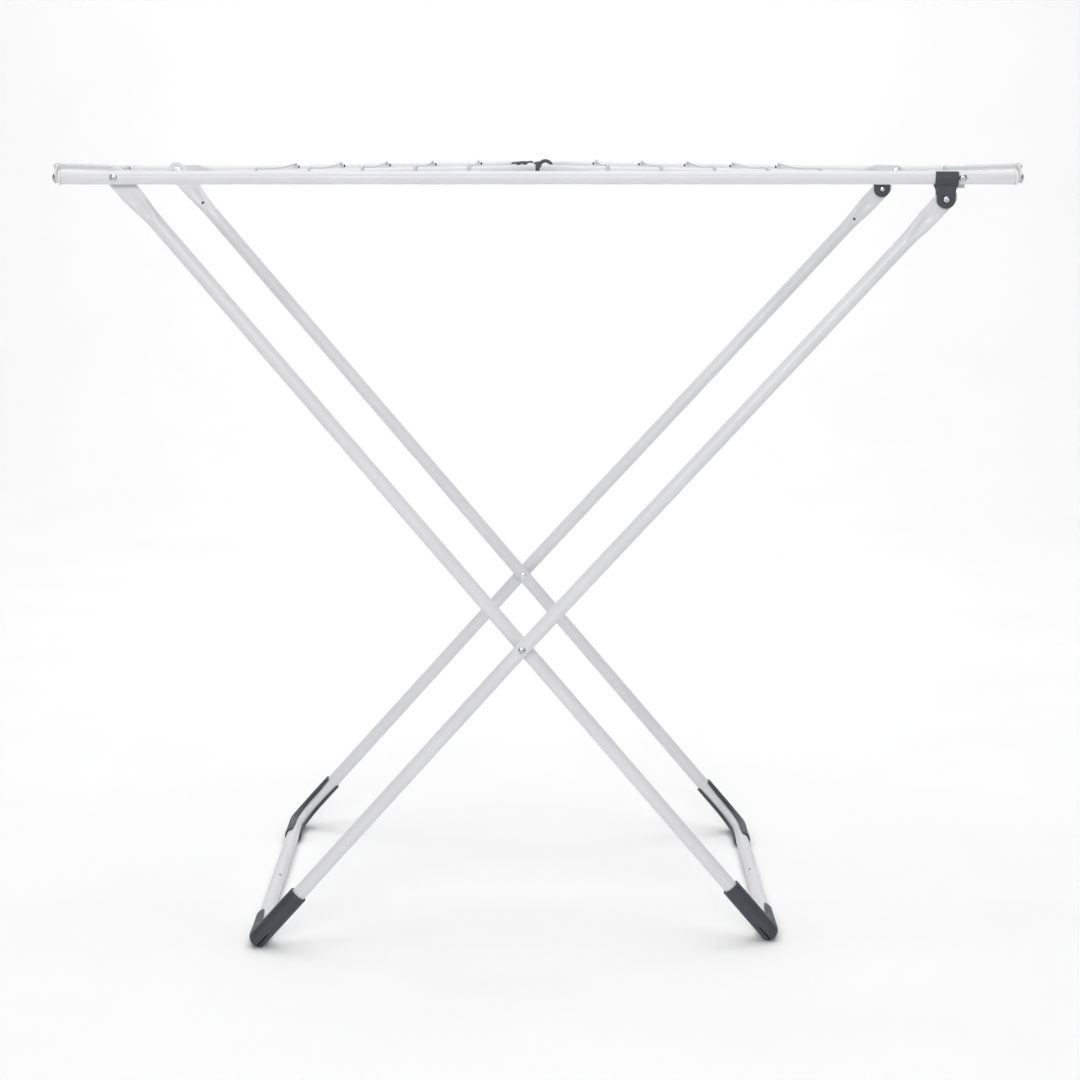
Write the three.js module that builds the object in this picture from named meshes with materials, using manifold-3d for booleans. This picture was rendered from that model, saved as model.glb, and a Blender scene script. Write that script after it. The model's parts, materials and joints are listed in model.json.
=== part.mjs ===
// Folding clothes drying rack: a rail frame on crossed legs, with two wings folded in over it.
// Millimetres. +X along the rails, +Y to the back, +Z up. The floor is Z = 0.
import * as THREE from 'three';
import { mergeVertices } from 'three/addons/utils/BufferGeometryUtils.js';
import Module from 'manifold-3d';

const wasm = await Module();
wasm.setup();

// Rail frame
const RAIL_Z = 957;
const RAIL_Y = 270;
const RAIL_R = 8;
const RAIL_BORE_R = 7;
const RAIL_END_X = 569;
const PIVOT_X = 506;
const PLUG_FLANGE_R = 9;
const PLUG_FLANGE_T = 3.5;
const END_BAR_X = 574.3;
const END_BAR_R = 4.15;
const END_BAR_FRONT_RISE = 14;
const END_BAR_BACK_RISE = 4;
const END_TAB_T = 2.6;
const END_TAB_HALF = 6.3;
const CENTRE_WIRE_X = [48, 144, 240, 336];
const CENTRE_WIRE_DROP = 4.9;
const CENTRE_WIRE_END_Y = 262.4;

// Legs
const LEG_R = 9;
const OUTER_LEG_Y = 270;
const INNER_LEG_Y = 246;
const CROSS_X = -20.5;
const CROSS_Z = RAIL_Z - 575.2;
const CLIP_X = 487;
const CLIP_Z = RAIL_Z - 25.3;
const FOOT_Z = 10.8;
const OUTER_FOOT_X = -352.5;
const INNER_FOOT_X = 292.7;
const ELBOW_R = 38;
const INNER_TIP = { half: 12.6, thick: 3.2, reach: 0, flat: 22, blend: 50, tube: LEG_R };
const OUTER_TIP = { half: 11.8, thick: 3.2, reach: 3.4, flat: 22, blend: 50, tube: LEG_R };
const INNER_LEAN = 7.2;
const SEAM_REACH = 289;
const SPIGOT_R = 7.7;
const SOCKET_R = 8;
const SPIGOT_LENGTH = 78;
const SHOE_R = 11.6;
const SHOE_BORE_R = 9.5;
const SHOE_LEG_ARM = 78;
const SHOE_BAR_ARM = 84;
const SHOE_HEEL = 15;
const SHOE_LIP = THREE.MathUtils.degToRad(44);
const SHOE_END_LIP = THREE.MathUtils.degToRad(52);

// Wings
const WING_R = 6;
const WING_Y = 252;
const WING_TILT = THREE.MathUtils.degToRad(1);
const WING_BAR_X = 9.6;
const WING_BEND_R = 70;
const WING_TIP = { half: 8.7, thick: 2.8, reach: 0, flat: 26, blend: 24, tube: WING_R };
const WING_WIRE_STEPS = [167, 231, 295, 359, 423];
const WIRE_R = 1.5;
const WIRE_SAG = 3;

// Fasteners
const HOLE_R = 2.7;
const BOLT_R = 2.4;
const WASHER_HALF = 6;
const WASHER_DROP = 12.6;
const WASHER_T = 2.4;
const GAP = 0.3;

// Finishes
const WHITE = { color: 0xdddde0, roughness: 0.35, metalness: 0 };
const WIRE_GREY = { color: 0xc4c5c8, roughness: 0.4, metalness: 0 };
const DARK = { color: 0x4b5054, roughness: 0.6, metalness: 0 };
const ZINC = { color: 0xa9adb0, roughness: 0.3, metalness: 1 };

const rack = new THREE.Group();
rack.name = 'clothes_drying_rack';

function vec(x, y, z) {
  return new THREE.Vector3(x, y, z);
}

function addPiece(name, geometry, finish) {
  const plain = geometry.index ? geometry.toNonIndexed() : geometry;
  plain.computeVertexNormals();
  const mesh = new THREE.Mesh(plain, new THREE.MeshStandardMaterial(finish));
  mesh.name = name;
  rack.add(mesh);
}

// Closes a stack of equal rings into one solid. A fan cap suits round rings, a strip cap suits a
// ring made of an outer run of points and the same number of inner points coming back.
function skin(rings, cap) {
  const count = rings[0].length;
  const points = rings.flat();
  const index = [];
  for (let s = 0; s + 1 < rings.length; s += 1) {
    for (let i = 0; i < count; i += 1) {
      const j = (i + 1) % count;
      const a = s * count + i;
      const b = s * count + j;
      index.push(a, b, b + count, a, b + count, a + count);
    }
  }
  const last = (rings.length - 1) * count;
  if (cap === 'fan') {
    const start = points.length;
    for (const ring of [rings[0], rings[rings.length - 1]]) {
      const middle = vec(0, 0, 0);
      ring.forEach((p) => middle.add(p));
      points.push(middle.divideScalar(count));
    }
    for (let i = 0; i < count; i += 1) {
      const j = (i + 1) % count;
      index.push(start, j, i, start + 1, last + i, last + j);
    }
  } else {
    for (let i = 0; i + 1 < count / 2; i += 1) {
      const k = count - 1 - i;
      index.push(i, k, i + 1, i + 1, k, k - 1);
      index.push(last + i, last + i + 1, last + k, last + i + 1, last + k - 1, last + k);
    }
  }
  const geometry = new THREE.BufferGeometry();
  const numbers = points.flatMap((p) => p.toArray());
  geometry.setAttribute('position', new THREE.Float32BufferAttribute(numbers, 3));
  geometry.setIndex(index);
  return geometry;
}

// One rounded section. side lies in the path's plane, across the path; normal is the plane's normal.
function section(station, normal, sides) {
  const side = normal.clone().cross(station.along);
  const power = 2 / station.square;
  const ring = [];
  for (let i = 0; i < sides; i += 1) {
    const angle = (2 * Math.PI * (i + 0.5)) / sides;
    const c = Math.cos(angle);
    const d = Math.sin(angle);
    const x = station.across * Math.sign(c) * Math.abs(c) ** power;
    const y = station.deep * Math.sign(d) * Math.abs(d) ** power;
    ring.push(station.at.clone().addScaledVector(side, x).addScaledVector(normal, y));
  }
  return ring;
}

function loft(stations, normal, sides) {
  return skin(stations.map((station) => section(station, normal, sides)), 'fan');
}

function round(at, along, radius) {
  return { at, along, across: radius, deep: radius, square: 2 };
}

// A turned solid: steps are [distance along the axis, radius].
function turned(origin, axis, steps, sides) {
  const other = Math.abs(axis.x) > 0.5 ? vec(0, 0, 1) : vec(1, 0, 0);
  const stations = steps.map(([d, r]) => round(origin.clone().addScaledVector(axis, d), axis, r));
  return loft(stations, other, sides);
}

// Points and directions along a path with rounded corners.
function bentPath(corners, radii, arcSteps) {
  const path = [];
  for (let i = 0; i < corners.length; i += 1) {
    const before = i > 0 ? corners[i].clone().sub(corners[i - 1]).normalize() : null;
    const after = i + 1 < corners.length ? corners[i + 1].clone().sub(corners[i]).normalize() : null;
    if (!before || !after) {
      path.push({ at: corners[i].clone(), along: before || after });
    } else if (radii[i] === 0) {
      path.push({ at: corners[i].clone(), along: before.clone().add(after).normalize() });
    } else {
      const turn = before.angleTo(after);
      const axis = before.clone().cross(after).normalize();
      const start = corners[i].clone().addScaledVector(before, -radii[i] * Math.tan(turn / 2));
      const centre = start.clone().addScaledVector(axis.clone().cross(before), radii[i]);
      for (let k = 0; k <= arcSteps; k += 1) {
        const angle = (turn * k) / arcSteps;
        const at = start.clone().sub(centre).applyAxisAngle(axis, angle).add(centre);
        path.push({ at, along: before.clone().applyAxisAngle(axis, angle) });
      }
    }
  }
  return path;
}

// Stations of a tube end pressed flat: from the rounded tip past the hole to the full round tube.
// lean moves the flat across the path so that it lies flush with one side of the tube.
function pressedEnd(hole, along, lean, size) {
  const stations = [];
  for (const degrees of [82, 64, 46, 28, 12]) {
    const angle = THREE.MathUtils.degToRad(degrees);
    const back = size.reach + size.half * Math.sin(angle);
    const at = hole.clone().addScaledVector(along, -back).add(lean);
    stations.push({ at, along, across: size.thick / 2, deep: size.half * Math.cos(angle), square: 7 });
  }
  for (const share of [0, 0.25, 0.5, 0.75, 1]) {
    const soft = share * share * (3 - 2 * share);
    const at = hole.clone().addScaledVector(along, size.flat + size.blend * share);
    at.addScaledVector(lean, 1 - soft);
    const across = THREE.MathUtils.lerp(size.thick / 2, size.tube, soft);
    const deep = THREE.MathUtils.lerp(size.half, size.tube, soft);
    stations.push({ at, along, across, deep, square: THREE.MathUtils.lerp(7, 2, Math.sqrt(soft)) });
  }
  return stations;
}

function reversed(stations) {
  return stations.map((s) => ({ ...s, along: s.along.clone().negate() })).reverse();
}

function solid(geometry) {
  const bare = geometry.clone();
  bare.deleteAttribute('normal');
  bare.deleteAttribute('uv');
  const joined = mergeVertices(bare, 1e-4);
  const vertProperties = new Float32Array(joined.attributes.position.array);
  const triVerts = new Uint32Array(joined.index.array);
  return new wasm.Manifold(new wasm.Mesh({ numProp: 3, vertProperties, triVerts }));
}

function fromSolid(body) {
  const mesh = body.getMesh();
  const geometry = new THREE.BufferGeometry();
  geometry.setAttribute('position', new THREE.Float32BufferAttribute(Array.from(mesh.vertProperties), 3));
  geometry.setIndex(Array.from(mesh.triVerts));
  return geometry;
}

function cut(geometry, tools) {
  let body = solid(geometry);
  for (const tool of tools) {
    body = body.subtract(solid(tool));
  }
  return fromSolid(body);
}

function join(geometries) {
  let body = solid(geometries[0]);
  for (const geometry of geometries.slice(1)) {
    body = body.add(solid(geometry));
  }
  return fromSolid(body);
}

function drill(x, y, z, axis, radius, half) {
  const start = vec(x, y, z).addScaledVector(axis, -half);
  return turned(start, axis, [[0, radius], [2 * half, radius]], 12);
}

// Rails, their end plugs, end crossbars and end screws
function rail(side) {
  const start = vec(-RAIL_END_X, side * RAIL_Y, RAIL_Z);
  const body = turned(start, vec(1, 0, 0), [[0, RAIL_R], [2 * RAIL_END_X, RAIL_R]], 24);
  const bore = drill(0, side * RAIL_Y, RAIL_Z, vec(1, 0, 0), RAIL_BORE_R, RAIL_END_X + 5);
  const holes = [-PIVOT_X, PIVOT_X].map((x) => drill(x, side * RAIL_Y, RAIL_Z, vec(0, 1, 0), HOLE_R, 12));
  return cut(body, [bore, ...holes]);
}

function endPlug(end, side) {
  const axis = vec(-end, 0, 0);
  const origin = vec(end * (RAIL_END_X + GAP + PLUG_FLANGE_T), side * RAIL_Y, RAIL_Z);
  const spigot = RAIL_BORE_R - GAP;
  const steps = [
    [0, PLUG_FLANGE_R - 0.8],
    [0.6, PLUG_FLANGE_R],
    [PLUG_FLANGE_T, PLUG_FLANGE_R],
    [PLUG_FLANGE_T, spigot],
    [PLUG_FLANGE_T + 15, spigot],
    [PLUG_FLANGE_T + 17, spigot - 1.2],
  ];
  const body = turned(origin, axis, steps, 16);
  return cut(body, [drill(origin.x, origin.y, origin.z, axis, HOLE_R, 40)]);
}

function endTab(at, along, half) {
  return { at, along, across: half, deep: END_TAB_T / 2, square: 6 };
}

function endBarStation(point) {
  const travel = point.at.y + RAIL_Y + point.at.z - RAIL_Z;
  const fromFront = THREE.MathUtils.smoothstep(travel, 11, 17);
  const fromBack = THREE.MathUtils.smoothstep(-point.at.y, 12 - RAIL_Y, 36 - RAIL_Y);
  const share = Math.min(fromFront, fromBack);
  return {
    at: point.at,
    along: point.along,
    across: THREE.MathUtils.lerp(END_TAB_HALF, END_BAR_R, share),
    deep: THREE.MathUtils.lerp(END_TAB_T / 2, END_BAR_R, share),
    square: THREE.MathUtils.lerp(6, 2, share),
  };
}

function endCrossbar(end) {
  const x = end * END_BAR_X;
  const front = vec(x, -RAIL_Y, RAIL_Z);
  const back = vec(x, RAIL_Y, RAIL_Z);
  const frontTop = vec(x, -RAIL_Y, RAIL_Z + END_BAR_FRONT_RISE);
  const backTop = vec(x, RAIL_Y - 22, RAIL_Z + END_BAR_BACK_RISE);
  const shares = [0.03, 0.045, 0.06, 0.93, 0.955];
  const between = shares.map((share) => frontTop.clone().lerp(backTop, share));
  const tabStart = backTop.clone().lerp(back, 0.5);
  const corners = [front, frontTop, ...between, backTop, tabStart, back];
  const path = bentPath(corners, [0, 8, 0, 0, 0, 0, 0, 40, 0, 0], 3);
  const out = path[path.length - 1].along;
  const up = vec(0, 0, 1);
  const tipAngles = [80, 55, 30].map((degrees) => THREE.MathUtils.degToRad(degrees));
  const stations = tipAngles.map((angle) => {
    const at = front.clone().addScaledVector(up, -END_TAB_HALF * Math.sin(angle));
    return endTab(at, up, END_TAB_HALF * Math.cos(angle));
  });
  stations.push(...path.map(endBarStation));
  tipAngles.reverse().forEach((angle) => {
    const at = back.clone().addScaledVector(out, END_TAB_HALF * Math.sin(angle));
    stations.push(endTab(at, out, END_TAB_HALF * Math.cos(angle)));
  });
  const body = loft(stations, vec(1, 0, 0), 12);
  return cut(body, [front, back].map((p) => drill(p.x, p.y, p.z, vec(1, 0, 0), HOLE_R, 8)));
}

function endScrew(end, side) {
  const axis = vec(-end, 0, 0);
  const outer = END_BAR_X + END_TAB_T / 2 + GAP + 3.4;
  const steps = [[0, 2.6], [0.9, 5], [2, 6.2], [3.4, 6.4], [3.4, BOLT_R], [20, BOLT_R], [22, 1]];
  return turned(vec(end * outer, side * RAIL_Y, RAIL_Z), axis, steps, 14);
}

// Wires across the middle of the rail frame
function centreWire(x) {
  const stations = [-1, -0.5, 0, 0.5, 1].map((share) => {
    const drop = CENTRE_WIRE_DROP + WIRE_SAG * (1 - share * share);
    return round(vec(x, share * CENTRE_WIRE_END_Y, RAIL_Z - drop), vec(0, 1, 0), WIRE_R);
  });
  return loft(stations, vec(1, 0, 0), 8);
}

// Legs: each frame is two bent tubes that plug together in the floor crossbar. The outer legs are
// a little steeper below the crossing than above it.
const OUTER = {
  top: vec(CLIP_X, 0, CLIP_Z),
  footX: OUTER_FOOT_X,
  y: OUTER_LEG_Y,
  tip: OUTER_TIP,
  lean: 0,
};
const INNER = {
  top: vec(-PIVOT_X, 0, RAIL_Z),
  footX: INNER_FOOT_X,
  y: INNER_LEG_Y,
  tip: INNER_TIP,
  lean: INNER_LEAN,
};

function legTube(leg, side) {
  const y = side * leg.y;
  const hole = vec(leg.top.x, y, leg.top.z);
  const crossing = vec(CROSS_X, y, CROSS_Z);
  const foot = vec(leg.footX, y, FOOT_Z);
  const along = crossing.clone().sub(hole).normalize();
  const normal = along.clone().cross(vec(0, -side, 0)).normalize();
  const seam = SEAM_REACH - leg.y;
  const barEnd = vec(foot.x, side < 0 ? seam : seam + GAP, FOOT_Z);
  const start = hole.clone().addScaledVector(along, leg.tip.flat + leg.tip.blend + 1);
  const path = bentPath([start, crossing, foot, barEnd], [0, 0, ELBOW_R, 0], 6).slice(1);
  const stations = pressedEnd(hole, along, vec(0, side * leg.lean, 0), leg.tip);
  stations.push(...path.map((p) => round(p.at, p.along, LEG_R)));
  if (side > 0) {
    const inward = vec(0, -1, 0);
    stations.push(round(barEnd, inward, SPIGOT_R));
    stations.push(round(vec(foot.x, seam - SPIGOT_LENGTH + 2, FOOT_Z), inward, SPIGOT_R));
    stations.push(round(vec(foot.x, seam - SPIGOT_LENGTH, FOOT_Z), inward, SPIGOT_R - 1));
  }
  const tools = [
    drill(hole.x, y, hole.z, vec(0, 1, 0), HOLE_R, 14),
    drill(CROSS_X, y, CROSS_Z, vec(0, 1, 0), HOLE_R, 14),
  ];
  if (side < 0) {
    const socketStart = vec(foot.x, seam - SPIGOT_LENGTH - 2, FOOT_Z);
    tools.push(turned(socketStart, vec(0, 1, 0), [[0, SOCKET_R], [120, SOCKET_R]], 16));
  }
  return cut(loft(stations, normal, 16), tools);
}

// A corner shoe: a shell with a square heel round the outside of the foot bend, slit along the
// inside of the bend so that it snaps on.
function cornerShoe(leg, side) {
  const foot = vec(leg.footX, side * leg.y, FOOT_Z);
  const along = foot.clone().sub(vec(CROSS_X, side * leg.y, CROSS_Z)).normalize();
  const inward = vec(0, -side, 0);
  const normal = along.clone().cross(inward).normalize();
  const legEnd = foot.clone().addScaledVector(along, -SHOE_LEG_ARM);
  const barEnd = foot.clone().addScaledVector(inward, SHOE_BAR_ARM);
  const legNear = legEnd.clone().addScaledVector(along, 12);
  const barNear = barEnd.clone().addScaledVector(inward, -16);
  const path = bentPath([legEnd, legNear, foot, barNear, barEnd], [0, 0, ELBOW_R, 0, 0], 6);
  const last = path.length - 1;
  const rings = path.map((p, i) => {
    const opening = i === 0 || i === last ? SHOE_END_LIP : SHOE_LIP;
    const bend = (Math.max(0, Math.min(i, last - i) - 2) * Math.PI) / 12;
    const mitre = (ELBOW_R + SHOE_R) * (1 / Math.cos(bend) - 1);
    return shoeRing(p, normal, opening, Math.min(mitre, SHOE_HEEL));
  });
  return skin(rings, 'strip');
}

function shoeRing(point, normal, opening, heel) {
  const inside = normal.clone().cross(point.along);
  const steps = 13;
  const ring = [];
  const place = (radius, angle, outward) => {
    const p = point.at.clone().addScaledVector(inside, radius * Math.cos(angle) - outward);
    p.addScaledVector(normal, radius * Math.sin(angle));
    p.z = Math.max(p.z, 0);
    return p;
  };
  const angles = [];
  for (let i = 0; i <= steps; i += 1) {
    angles.push(opening + ((2 * Math.PI - 2 * opening) * i) / steps);
  }
  for (const angle of angles) {
    ring.push(place(SHOE_R, angle, heel * THREE.MathUtils.smoothstep(-Math.cos(angle), 0, 0.35)));
  }
  for (const angle of angles.reverse()) {
    ring.push(place(SHOE_BORE_R, angle, 0));
  }
  return ring;
}

// The clip that carries a rail on the top of an outer leg: an open saddle over a forked tongue
function railClip(side) {
  const half = 13.8;
  const tongue = 11.2;
  const band = turned(vec(CLIP_X - half, side * RAIL_Y, RAIL_Z), vec(1, 0, 0), [
    [0, 10.7],
    [0.7, 11.3],
    [2 * half - 0.7, 11.3],
    [2 * half, 10.7],
  ], 28);
  const outline = new THREE.Shape();
  outline.moveTo(-half, 0);
  outline.lineTo(-half, -10);
  outline.lineTo(-tongue, -14.5);
  outline.lineTo(-tongue, CLIP_Z - RAIL_Z);
  outline.absarc(0, CLIP_Z - RAIL_Z, tongue, Math.PI, 2 * Math.PI, false);
  outline.lineTo(tongue, -14.5);
  outline.lineTo(half, -10);
  outline.lineTo(half, 0);
  const slab = new THREE.ExtrudeGeometry(outline, {
    depth: 12.8,
    bevelEnabled: true,
    bevelThickness: 0.6,
    bevelSize: 0.6,
    bevelOffset: -0.6,
    bevelSegments: 1,
    curveSegments: 10,
  });
  slab.rotateX(Math.PI / 2);
  slab.translate(CLIP_X, side * RAIL_Y + 6.4, RAIL_Z);
  const saddle = drill(CLIP_X, side * RAIL_Y, RAIL_Z, vec(1, 0, 0), RAIL_R + 0.4, 20);
  const mouth = new THREE.BoxGeometry(40, 2 * (RAIL_R + 0.3), 16);
  mouth.translate(CLIP_X, side * RAIL_Y, RAIL_Z + 8);
  const slot = new THREE.BoxGeometry(40, 3.8, 32);
  slot.translate(CLIP_X, side * RAIL_Y, RAIL_Z - 26.2);
  const bore = drill(CLIP_X, side * RAIL_Y, CLIP_Z, vec(0, 1, 0), 2.2, 12);
  return cut(join([band, slab]), [saddle, mouth, slot, bore]);
}

function clipBolt(side) {
  const axis = vec(0, -side, 0);
  const head = [[0, 2.2], [0.8, 3.5], [2.2, 4], [2.2, 1.9]];
  const tail = [[16.8, 1.9], [16.8, 3.1], [18.6, 3.1], [19.2, 2.4]];
  return turned(vec(CLIP_X, side * (RAIL_Y + 9.5), CLIP_Z), axis, [...head, ...tail], 12);
}

// A pan-head screw through a stack of flats, with a nut at its end
function headedScrew(x, z, headY, nutY) {
  const side = Math.sign(headY);
  const axis = vec(0, -side, 0);
  const outer = headY + side * (GAP + 2.7);
  const nut = Math.abs(outer) - Math.abs(nutY) + GAP;
  const steps = [
    [0, 2.2],
    [0.9, 4],
    [1.8, 4.7],
    [2.7, 4.7],
    [2.7, BOLT_R],
    [nut, BOLT_R],
    [nut, 4.4],
    [nut + 3.2, 4.4],
    [nut + 3.5, 3.8],
  ];
  return turned(vec(x, outer, z), axis, steps, 12);
}

function spacer(x, z, fromY, toY) {
  const side = Math.sign(fromY);
  const length = Math.abs(fromY) - Math.abs(toY) - 2 * GAP;
  const body = turned(vec(x, fromY - side * GAP, z), vec(0, -side, 0), [[0, 4.7], [length, 4.7]], 12);
  return cut(body, [drill(x, fromY, z, vec(0, 1, 0), HOLE_R, 20)]);
}

// A flat washer plate behind each right wing arm, as thick as the leg end on the left screws
function armWasher(side) {
  const outer = WING_Y + WING_R - WING_TIP.thick - GAP;
  const outline = new THREE.Shape();
  outline.moveTo(WASHER_HALF, -WASHER_DROP);
  outline.absarc(0, 0, WASHER_HALF, 0, Math.PI, false);
  outline.lineTo(-WASHER_HALF, -WASHER_DROP);
  const plate = extrudeAcross(outline, WASHER_T);
  plate.translate(PIVOT_X, side * (outer - WASHER_T / 2), RAIL_Z);
  return cut(plate, [drill(PIVOT_X, side * outer, RAIL_Z, vec(0, 1, 0), HOLE_R, 12)]);
}

// Wings
function wingAxis(end) {
  return vec(-end * Math.cos(WING_TILT), 0, Math.sin(WING_TILT));
}

function wingPoint(end, reach, y) {
  return vec(end * PIVOT_X, y, RAIL_Z).addScaledVector(wingAxis(end), reach);
}

function wingFrame(end) {
  const along = wingAxis(end);
  const normal = along.clone().cross(vec(0, 1, 0));
  const reach = (PIVOT_X - WING_BAR_X) / Math.cos(WING_TILT);
  const shift = WING_R - WING_TIP.thick / 2;
  const corners = [
    wingPoint(end, 60, -WING_Y),
    wingPoint(end, reach, -WING_Y),
    wingPoint(end, reach, WING_Y),
    wingPoint(end, 60, WING_Y),
  ];
  const path = bentPath(corners, [0, WING_BEND_R, WING_BEND_R, 0], 6);
  const stations = [
    ...pressedEnd(wingPoint(end, 0, -WING_Y), along, vec(0, -shift, 0), WING_TIP),
    ...path.slice(1, -1).map((p) => round(p.at, p.along, WING_R)),
    ...reversed(pressedEnd(wingPoint(end, 0, WING_Y), along, vec(0, shift, 0), WING_TIP)),
  ];
  const holes = [-WING_Y, WING_Y].map((y) => drill(end * PIVOT_X, y, RAIL_Z, vec(0, 1, 0), HOLE_R, 12));
  return cut(loft(stations, normal, 12), holes);
}

// A wire over the wing's side tubes, with its ends hooked down outside them
function wingWire(end, reach) {
  const base = wingPoint(end, reach, 0);
  const top = base.z + WING_R + WIRE_R + GAP;
  const hookY = WING_Y + WING_R + WIRE_R + GAP;
  const at = (y, z) => vec(base.x, y, z);
  const corners = [at(-hookY, base.z - 2), at(-hookY, top)];
  for (const share of [-0.55, 0, 0.55]) {
    corners.push(at(share * WING_Y, top - WIRE_SAG * (1 - share * share)));
  }
  corners.push(at(hookY, top), at(hookY, base.z - 2));
  const path = bentPath(corners, [0, 4, 0, 0, 0, 4, 0], 3);
  return loft(path.map((p) => round(p.at, p.along, WIRE_R)), vec(1, 0, 0), 8);
}

function extrudeAcross(outline, width) {
  const options = { depth: width, bevelEnabled: false, curveSegments: 8 };
  const plate = new THREE.ExtrudeGeometry(outline, options);
  plate.rotateX(Math.PI / 2);
  plate.translate(0, width / 2, 0);
  return plate;
}

// A strap over the left wing's end tube, with a finger tab and a catch below it
function latchStrap() {
  const centre = wingPoint(-1, (PIVOT_X - WING_BAR_X) / Math.cos(WING_TILT), 0);
  const x = centre.x;
  const z = centre.z;
  const inner = WING_R + GAP;
  const outer = inner + 2.2;
  const outline = new THREE.Shape();
  outline.absarc(x, z, outer, THREE.MathUtils.degToRad(62), THREE.MathUtils.degToRad(112), false);
  outline.lineTo(x - 24.5, z + 6);
  outline.lineTo(x - 24.8, z + 3.8);
  outline.lineTo(x - 18, z + 4.8);
  outline.lineTo(x - 17.6, z + 1.6);
  outline.lineTo(x - 13, z + 1.6);
  outline.lineTo(x - 12.2, z + 5);
  outline.lineTo(x - outer + 0.2, z + 3.4);
  outline.lineTo(x - outer, z);
  outline.lineTo(x - inner, z);
  outline.absarc(x, z, inner, Math.PI, THREE.MathUtils.degToRad(62), true);
  return extrudeAcross(outline, 18);
}

// A hook over the right wing's end tube, with a stem and foot between the two wings
function latchHook() {
  const centre = wingPoint(1, (PIVOT_X - WING_BAR_X) / Math.cos(WING_TILT), 0);
  const x = centre.x;
  const z = centre.z;
  const inner = WING_R + GAP;
  const outer = inner + 3.8;
  const outline = new THREE.Shape();
  outline.absarc(x, z, outer, THREE.MathUtils.degToRad(4), THREE.MathUtils.degToRad(125), false);
  outline.lineTo(x - 15, z + 6.6);
  outline.lineTo(x - 14.6, z + 4.9);
  outline.lineTo(x - 12.9, z + 3.6);
  outline.lineTo(x - 12.9, z - 5.6);
  outline.lineTo(x - 14, z - 8.6);
  outline.lineTo(x - 6.6, z - 8.2);
  outline.lineTo(x - inner, z);
  outline.absarc(x, z, inner, Math.PI, THREE.MathUtils.degToRad(4), true);
  return extrudeAcross(outline, 16);
}

for (const [side, word] of [[-1, 'front'], [1, 'back']]) {
  const railInner = side * (RAIL_Y - RAIL_R);
  const railOuter = side * (RAIL_Y + RAIL_R);
  addPiece(`${word}_rail`, rail(side), WHITE);
  for (const [end, hand] of [[-1, 'left'], [1, 'right']]) {
    const gapFiller = spacer(end * PIVOT_X, RAIL_Z, railInner, side * (WING_Y + WING_R));
    addPiece(`${word}_${hand}_rail_plug`, endPlug(end, side), WHITE);
    addPiece(`${word}_${hand}_end_screw`, endScrew(end, side), ZINC);
    addPiece(`${word}_${hand}_pivot_spacer`, gapFiller, DARK);
  }
  const leftNut = side * (INNER_LEG_Y + INNER_LEAN - INNER_TIP.thick / 2);
  const rightNut = side * (WING_Y + WING_R - WING_TIP.thick - GAP - WASHER_T);
  addPiece(`${word}_left_pivot_screw`, headedScrew(-PIVOT_X, RAIL_Z, railOuter, leftNut), ZINC);
  addPiece(`${word}_right_pivot_screw`, headedScrew(PIVOT_X, RAIL_Z, railOuter, rightNut), ZINC);
  addPiece(`${word}_right_arm_washer`, armWasher(side), WHITE);

  const outerY = side * OUTER_LEG_Y;
  const innerY = side * INNER_LEG_Y;
  addPiece(`${word}_outer_leg`, legTube(OUTER, side), WHITE);
  addPiece(`${word}_inner_leg`, legTube(INNER, side), WHITE);
  addPiece(`${word}_outer_leg_shoe`, cornerShoe(OUTER, side), DARK);
  addPiece(`${word}_inner_leg_shoe`, cornerShoe(INNER, side), DARK);
  const crossingBolt = headedScrew(CROSS_X, CROSS_Z, outerY + side * LEG_R, innerY - side * LEG_R);
  const crossingSpacer = spacer(CROSS_X, CROSS_Z, outerY - side * LEG_R, innerY + side * LEG_R);
  addPiece(`${word}_crossing_bolt`, crossingBolt, ZINC);
  addPiece(`${word}_crossing_spacer`, crossingSpacer, DARK);
  addPiece(`${word}_rail_clip`, railClip(side), DARK);
  addPiece(`${word}_clip_bolt`, clipBolt(side), ZINC);
}

for (const [end, hand] of [[-1, 'left'], [1, 'right']]) {
  addPiece(`${hand}_end_crossbar`, endCrossbar(end), WHITE);
  addPiece(`${hand}_wing_frame`, wingFrame(end), WHITE);
  WING_WIRE_STEPS.forEach((reach, i) => {
    addPiece(`${hand}_wing_wire_${i + 1}`, wingWire(end, reach), WIRE_GREY);
  });
}

CENTRE_WIRE_X.forEach((x, i) => {
  addPiece(`centre_wire_left_${i + 1}`, centreWire(-x), WIRE_GREY);
  addPiece(`centre_wire_right_${i + 1}`, centreWire(x), WIRE_GREY);
});

addPiece('left_wing_latch_strap', latchStrap(), DARK);
addPiece('right_wing_latch_hook', latchHook(), DARK);

export default rack;
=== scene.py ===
"""Looks for the folding clothes drying rack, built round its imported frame. Metres, +Z up."""

import json
import math
from collections import namedtuple

import bmesh
import bpy
from mathutils import Matrix, Vector


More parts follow.
